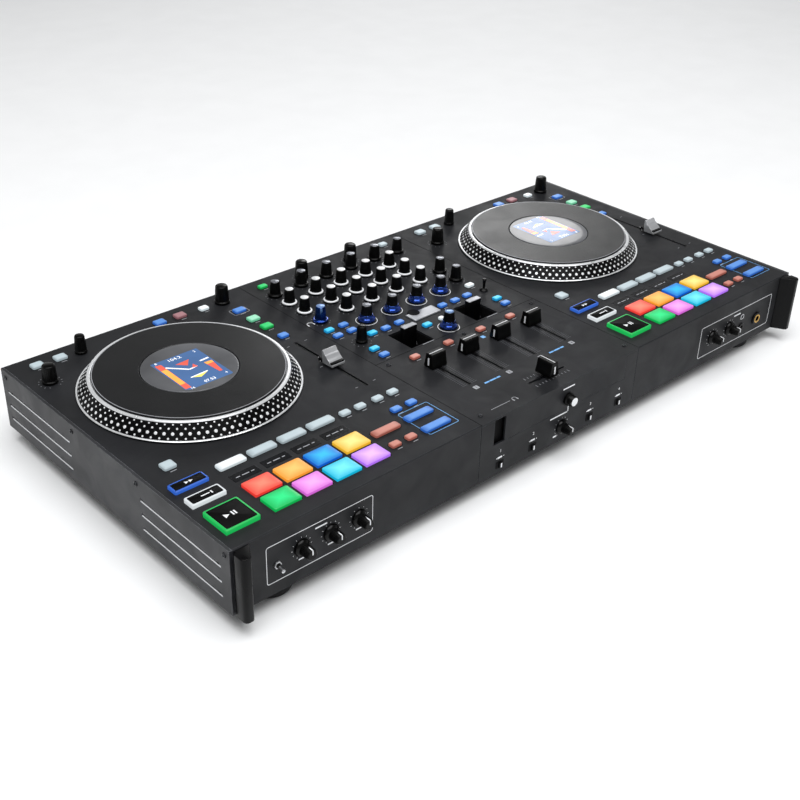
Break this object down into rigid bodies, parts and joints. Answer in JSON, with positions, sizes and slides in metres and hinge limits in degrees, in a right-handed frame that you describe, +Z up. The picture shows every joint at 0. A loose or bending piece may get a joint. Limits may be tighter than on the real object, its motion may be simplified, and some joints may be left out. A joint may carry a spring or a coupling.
{
  "type": "dj controller",
  "caption": "Two-deck DJ controller with motor driven platters, a four channel mixer, pads, faders, knobs and paddles in a low steel case on rubber feet",
  "frame": {"origin": "on the surface that the feet stand on, under the middle of the object's box", "axes": "+X to the right along the front edge, +Y from the front edge to the rear, +Z up"},
  "size_m": [0.752, 0.3726, 0.0945],
  "materials": {
    "cover_paint": "satin black powder coat, very fine grain",
    "side_paint": "satin dark grey anodised",
    "pan_steel": "matt black",
    "black_plastic": "smooth semi-matt",
    "foot_rubber": "matt",
    "platter_aluminium": "turned, bright edges, dark strobe band",
    "disc_plastic": "satin",
    "display_glass": "smooth",
    "chrome": "polished",
    "pad_silicone": "translucent, lit from below",
    "key_green": "lit rim on a black key",
    "key_white": "lit rim on a black key",
    "key_blue": "translucent, lit from below",
    "key_salmon": "translucent, lit from below",
    "knob_black": "soft touch",
    "knob_blue": "metallic blue skirt",
    "printed_white": "printed line",
    "bright_metal": "brushed",
    "circuit_board": "solder mask"
  },
  "bodies": {
    "root": {"left_deck_cover": "cover_paint", "right_deck_cover": "cover_paint", "mixer_cover": "cover_paint", "fader_plate": "cover_paint", "mixer_front_panel": "cover_paint", "left_side_panel": "side_paint", "right_side_panel": "side_paint", "left_corner_guard": "black_plastic", "right_corner_guard": "black_plastic", "base_pan": "pan_steel", "main_board": "circuit_board", "power_inlet": "black_plastic", "foot_front_left": "foot_rubber", "foot_front_right": "foot_rubber", "foot_rear_left": "foot_rubber", "foot_rear_right": "foot_rubber", "left_platter_motor": "pan_steel", "left_display": "display_glass", "left_pad_mat": "pad_silicone", "right_platter_motor": "pan_steel", "right_display": "display_glass", "right_pad_mat": "pad_silicone"},
    "left_platter": {"left_platter": "platter_aluminium", "left_top_disc": "disc_plastic"},
    "left_pitch_fader": {"left_pitch_fader": "chrome"},
    "left_start_key": {"left_start_key": "key_green"},
    "left_cue_key": {"left_cue_key": "key_white"},
    "right_platter": {"right_platter": "platter_aluminium", "right_top_disc": "disc_plastic"},
    "right_pitch_fader": {"right_pitch_fader": "chrome"},
    "right_start_key": {"right_start_key": "key_green"},
    "right_cue_key": {"right_cue_key": "key_white"},
    "channel_1_gain_knob": {"channel_1_gain_knob": "knob_black"},
    "channel_1_high_knob": {"channel_1_high_knob": "knob_black"},
    "channel_1_mid_knob": {"channel_1_mid_knob": "knob_black"},
    "channel_1_low_knob": {"channel_1_low_knob": "knob_black"},
    "channel_1_filter_knob": {"channel_1_filter_knob": "knob_blue"},
    "channel_2_gain_knob": {"channel_2_gain_knob": "knob_black"},
    "channel_2_high_knob": {"channel_2_high_knob": "knob_black"},
    "channel_2_mid_knob": {"channel_2_mid_knob": "knob_black"},
    "channel_2_low_knob": {"channel_2_low_knob": "knob_black"},
    "channel_2_filter_knob": {"channel_2_filter_knob": "knob_blue"},
    "channel_3_gain_knob": {"channel_3_gain_knob": "knob_black"},
    "channel_3_high_knob": {"channel_3_high_knob": "knob_black"},
    "channel_3_mid_knob": {"channel_3_mid_knob": "knob_black"},
    "channel_3_low_knob": {"channel_3_low_knob": "knob_black"},
    "channel_3_filter_knob": {"channel_3_filter_knob": "knob_blue"},
    "channel_4_gain_knob": {"channel_4_gain_knob": "knob_black"},
    "channel_4_high_knob": {"channel_4_high_knob": "knob_black"},
    "channel_4_mid_knob": {"channel_4_mid_knob": "knob_black"},
    "channel_4_low_knob": {"channel_4_low_knob": "knob_black"},
    "channel_4_filter_knob": {"channel_4_filter_knob": "knob_blue"},
    "browse_encoder": {"browse_encoder": "knob_blue"},
    "channel_1_fader": {"channel_1_fader": "knob_black"},
    "channel_2_fader": {"channel_2_fader": "knob_black"},
    "channel_3_fader": {"channel_3_fader": "knob_black"},
    "channel_4_fader": {"channel_4_fader": "knob_black"},
    "crossfader": {"crossfader": "knob_black"},
    "left_effect_paddle": {"left_effect_paddle": "black_plastic"},
    "right_effect_paddle": {"right_effect_paddle": "black_plastic"}
  },
  "joints": [
    {"name": "left_platter_spin", "type": "hinge", "parent": "root", "child": "left_platter", "pos_m": [-0.2586, 0.05075, 0.082], "axis": [0, 0, 1], "continuous": true},
    {"name": "left_pitch_fader_slide", "type": "slide", "parent": "root", "child": "left_pitch_fader", "axis": [0, 1, 0], "range_m": [-0.0487, 0.0513]},
    {"name": "left_start_key_press", "type": "slide", "parent": "root", "child": "left_start_key", "axis": [0, 0, 1], "range_m": [-0.0012, 0], "stiffness_N_per_m": 400, "springref_m": 0.0006},
    {"name": "left_cue_key_press", "type": "slide", "parent": "root", "child": "left_cue_key", "axis": [0, 0, 1], "range_m": [-0.0012, 0], "stiffness_N_per_m": 400, "springref_m": 0.0006},
    {"name": "right_platter_spin", "type": "hinge", "parent": "root", "child": "right_platter", "pos_m": [0.2267, 0.05075, 0.082], "axis": [0, 0, 1], "continuous": true},
    {"name": "right_pitch_fader_slide", "type": "slide", "parent": "root", "child": "right_pitch_fader", "axis": [0, 1, 0], "range_m": [-0.0487, 0.0513]},
    {"name": "right_start_key_press", "type": "slide", "parent": "root", "child": "right_start_key", "axis": [0, 0, 1], "range_m": [-0.0012, 0], "stiffness_N_per_m": 400, "springref_m": 0.0006},
    {"name": "right_cue_key_press", "type": "slide", "parent": "root", "child": "right_cue_key", "axis": [0, 0, 1], "range_m": [-0.0012, 0], "stiffness_N_per_m": 400, "springref_m": 0.0006},
    {"name": "channel_1_gain_knob_turn", "type": "hinge", "parent": "root", "child": "channel_1_gain_knob", "pos_m": [-0.0557, 0.14545, 0.085], "axis": [0, 0, 1], "range_deg": [-150, 150]},
    {"name": "channel_1_high_knob_turn", "type": "hinge", "parent": "root", "child": "channel_1_high_knob", "pos_m": [-0.0557, 0.12115, 0.085], "axis": [0, 0, 1], "range_deg": [-150, 150]},
    {"name": "channel_1_mid_knob_turn", "type": "hinge", "parent": "root", "child": "channel_1_mid_knob", "pos_m": [-0.0557, 0.09655, 0.085], "axis": [0, 0, 1], "range_deg": [-150, 150]},
    {"name": "channel_1_low_knob_turn", "type": "hinge", "parent": "root", "child": "channel_1_low_knob", "pos_m": [-0.0557, 0.07195, 0.085], "axis": [0, 0, 1], "range_deg": [-150, 150]},
    {"name": "channel_1_filter_knob_turn", "type": "hinge", "parent": "root", "child": "channel_1_filter_knob", "pos_m": [-0.0557, 0.04125, 0.085], "axis": [0, 0, 1], "range_deg": [-150, 150]},
    {"name": "channel_2_gain_knob_turn", "type": "hinge", "parent": "root", "child": "channel_2_gain_knob", "pos_m": [-0.0215, 0.14545, 0.085], "axis": [0, 0, 1], "range_deg": [-150, 150]},
    {"name": "channel_2_high_knob_turn", "type": "hinge", "parent": "root", "child": "channel_2_high_knob", "pos_m": [-0.0215, 0.12115, 0.085], "axis": [0, 0, 1], "range_deg": [-150, 150]},
    {"name": "channel_2_mid_knob_turn", "type": "hinge", "parent": "root", "child": "channel_2_mid_knob", "pos_m": [-0.0215, 0.09655, 0.085], "axis": [0, 0, 1], "range_deg": [-150, 150]},
    {"name": "channel_2_low_knob_turn", "type": "hinge", "parent": "root", "child": "channel_2_low_knob", "pos_m": [-0.0215, 0.07195, 0.085], "axis": [0, 0, 1], "range_deg": [-150, 150]},
    {"name": "channel_2_filter_knob_turn", "type": "hinge", "parent": "root", "child": "channel_2_filter_knob", "pos_m": [-0.0215, 0.04125, 0.085], "axis": [0, 0, 1], "range_deg": [-150, 150]},
    {"name": "channel_3_gain_knob_turn", "type": "hinge", "parent": "root", "child": "channel_3_gain_knob", "pos_m": [0.0127, 0.14545, 0.085], "axis": [0, 0, 1], "range_deg": [-150, 150]},
    {"name": "channel_3_high_knob_turn", "type": "hinge", "parent": "root", "child": "channel_3_high_knob", "pos_m": [0.0127, 0.12115, 0.085], "axis": [0, 0, 1], "range_deg": [-150, 150]},
    {"name": "channel_3_mid_knob_turn", "type": "hinge", "parent": "root", "child": "channel_3_mid_knob", "pos_m": [0.0127, 0.09655, 0.085], "axis": [0, 0, 1], "range_deg": [-150, 150]},
    {"name": "channel_3_low_knob_turn", "type": "hinge", "parent": "root", "child": "channel_3_low_knob", "pos_m": [0.0127, 0.07195, 0.085], "axis": [0, 0, 1], "range_deg": [-150, 150]},
    {"name": "channel_3_filter_knob_turn", "type": "hinge", "parent": "root", "child": "channel_3_filter_knob", "pos_m": [0.0127, 0.04125, 0.085], "axis": [0, 0, 1], "range_deg": [-150, 150]},
    {"name": "channel_4_gain_knob_turn", "type": "hinge", "parent": "root", "child": "channel_4_gain_knob", "pos_m": [0.0469, 0.14545, 0.085], "axis": [0, 0, 1], "range_deg": [-150, 150]},
    {"name": "channel_4_high_knob_turn", "type": "hinge", "parent": "root", "child": "channel_4_high_knob", "pos_m": [0.0469, 0.12115, 0.085], "axis": [0, 0, 1], "range_deg": [-150, 150]},
    {"name": "channel_4_mid_knob_turn", "type": "hinge", "parent": "root", "child": "channel_4_mid_knob", "pos_m": [0.0469, 0.09655, 0.085], "axis": [0, 0, 1], "range_deg": [-150, 150]},
    {"name": "channel_4_low_knob_turn", "type": "hinge", "parent": "root", "child": "channel_4_low_knob", "pos_m": [0.0469, 0.07195, 0.085], "axis": [0, 0, 1], "range_deg": [-150, 150]},
    {"name": "channel_4_filter_knob_turn", "type": "hinge", "parent": "root", "child": "channel_4_filter_knob", "pos_m": [0.0469, 0.04125, 0.085], "axis": [0, 0, 1], "range_deg": [-150, 150]},
    {"name": "browse_encoder_turn", "type": "hinge", "parent": "root", "child": "browse_encoder", "pos_m": [-0.0025, -0.02175, 0.085], "axis": [0, 0, 1], "continuous": true},
    {"name": "channel_1_fader_slide", "type": "slide", "parent": "root", "child": "channel_1_fader", "axis": [0, 1, 0], "range_m": [-0.0442, 0.0008]},
    {"name": "channel_2_fader_slide", "type": "slide", "parent": "root", "child": "channel_2_fader", "axis": [0, 1, 0], "range_m": [-0.0442, 0.0008]},
    {"name": "channel_3_fader_slide", "type": "slide", "parent": "root", "child": "channel_3_fader", "axis": [0, 1, 0], "range_m": [-0.0442, 0.0008]},
    {"name": "channel_4_fader_slide", "type": "slide", "parent": "root", "child": "channel_4_fader", "axis": [0, 1, 0], "range_m": [-0.0442, 0.0008]},
    {"name": "crossfader_slide", "type": "slide", "parent": "root", "child": "crossfader", "axis": [1, 0, 0], "range_m": [-0.0225, 0.0225]},
    {"name": "left_effect_paddle_flip", "type": "hinge", "parent": "root", "child": "left_effect_paddle", "pos_m": [-0.046, -0.00975, 0.064], "axis": [1, 0, 0], "range_deg": [-20, 20], "stiffness_Nm_per_rad": 0.03},
    {"name": "right_effect_paddle_flip", "type": "hinge", "parent": "root", "child": "right_effect_paddle", "pos_m": [0.0435, -0.00975, 0.064], "axis": [1, 0, 0], "range_deg": [-20, 20], "stiffness_Nm_per_rad": 0.03}
  ]
}
